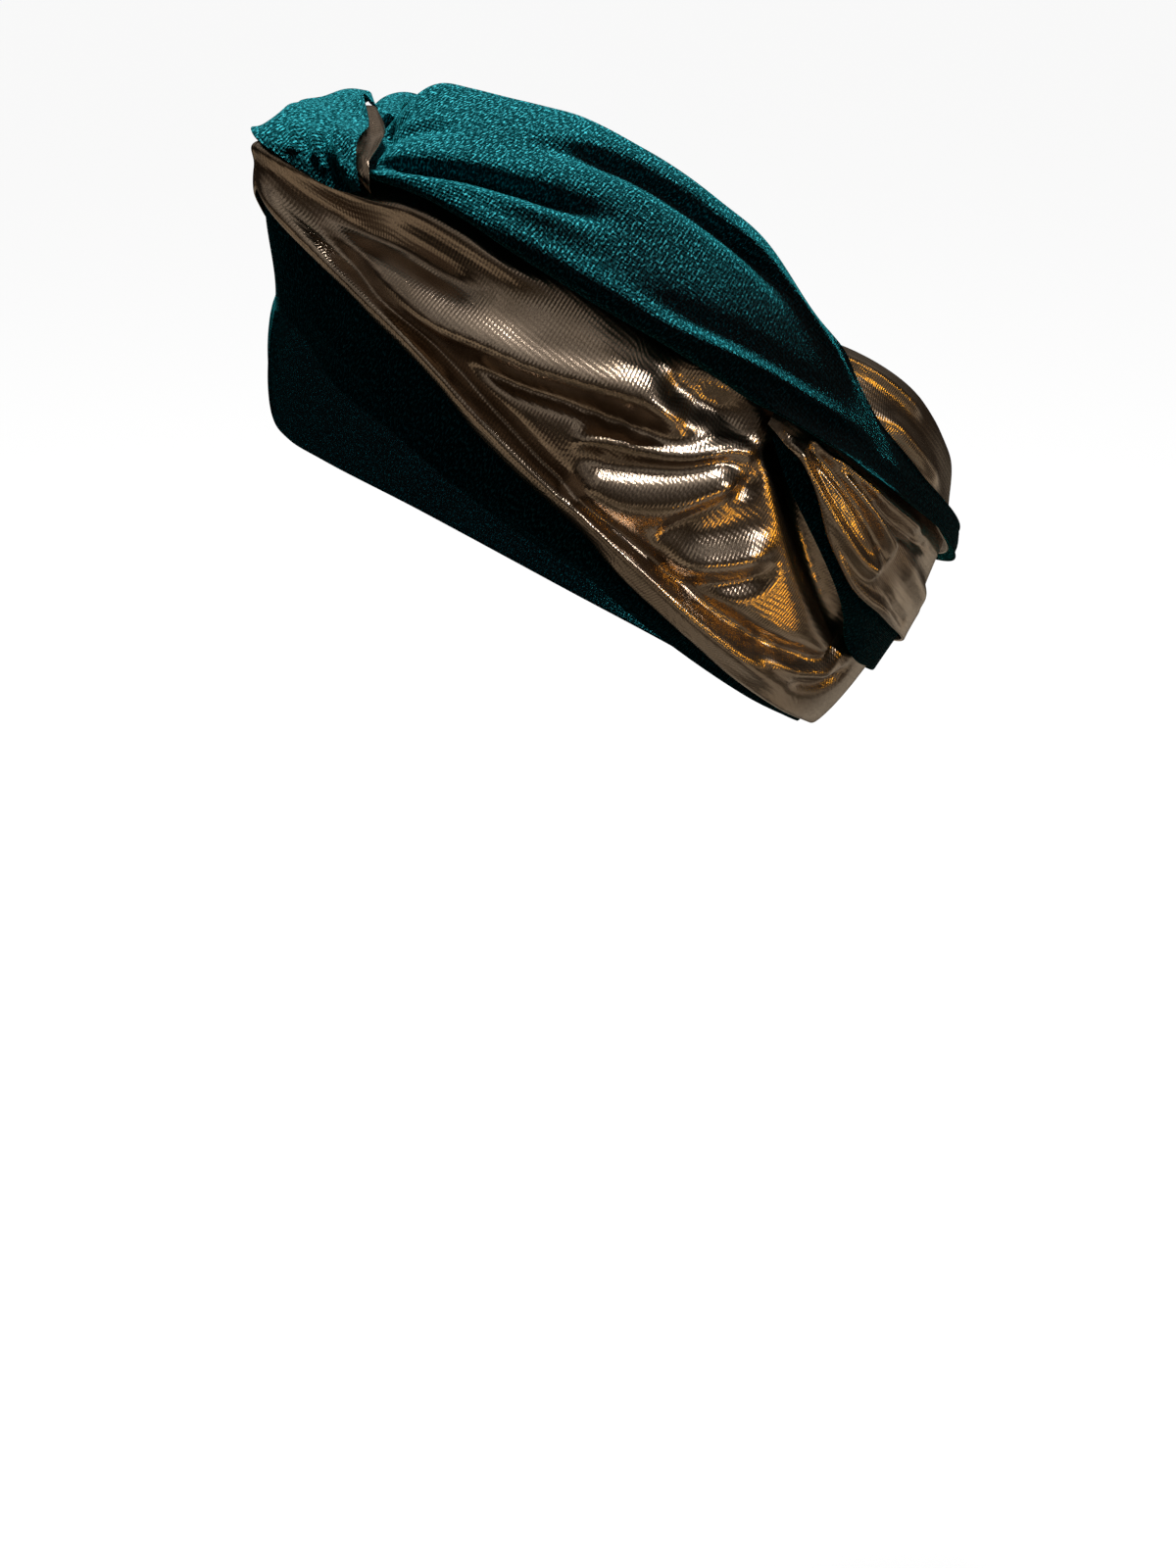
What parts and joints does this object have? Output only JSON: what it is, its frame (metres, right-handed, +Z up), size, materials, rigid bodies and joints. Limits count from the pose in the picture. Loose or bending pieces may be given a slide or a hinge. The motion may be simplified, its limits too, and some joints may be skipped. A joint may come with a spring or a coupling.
{
  "type": "turban headwrap",
  "caption": "Soft headwrap of one long velvet and lame strip, laid round the nape, twisted over the forehead and taken back over itself, in its worn shape.",
  "frame": {"origin": "middle of the ring that rests round the head, in its middle plane", "axes": "+Z up with the head upright, the face towards -Y, the wearer's left towards +X; the ring is tilted, high at the forehead and low at the nape"},
  "size_m": [0.1917, 0.23, 0.2056],
  "materials": {
    "velvet": "deep teal stretch velvet with a short pile",
    "lame": "bronze foil knit with a metallic sheen"
  },
  "bodies": {
    "root": {"lower_band_lining": "velvet", "lower_band": "lame", "left_tail_lining": "velvet", "left_tail": "lame", "right_tail": "lame", "left_upper_band": "velvet", "right_upper_band": "velvet", "knot_loop_lining": "lame", "knot_loop": "velvet"}
  },
  "joints": []
}
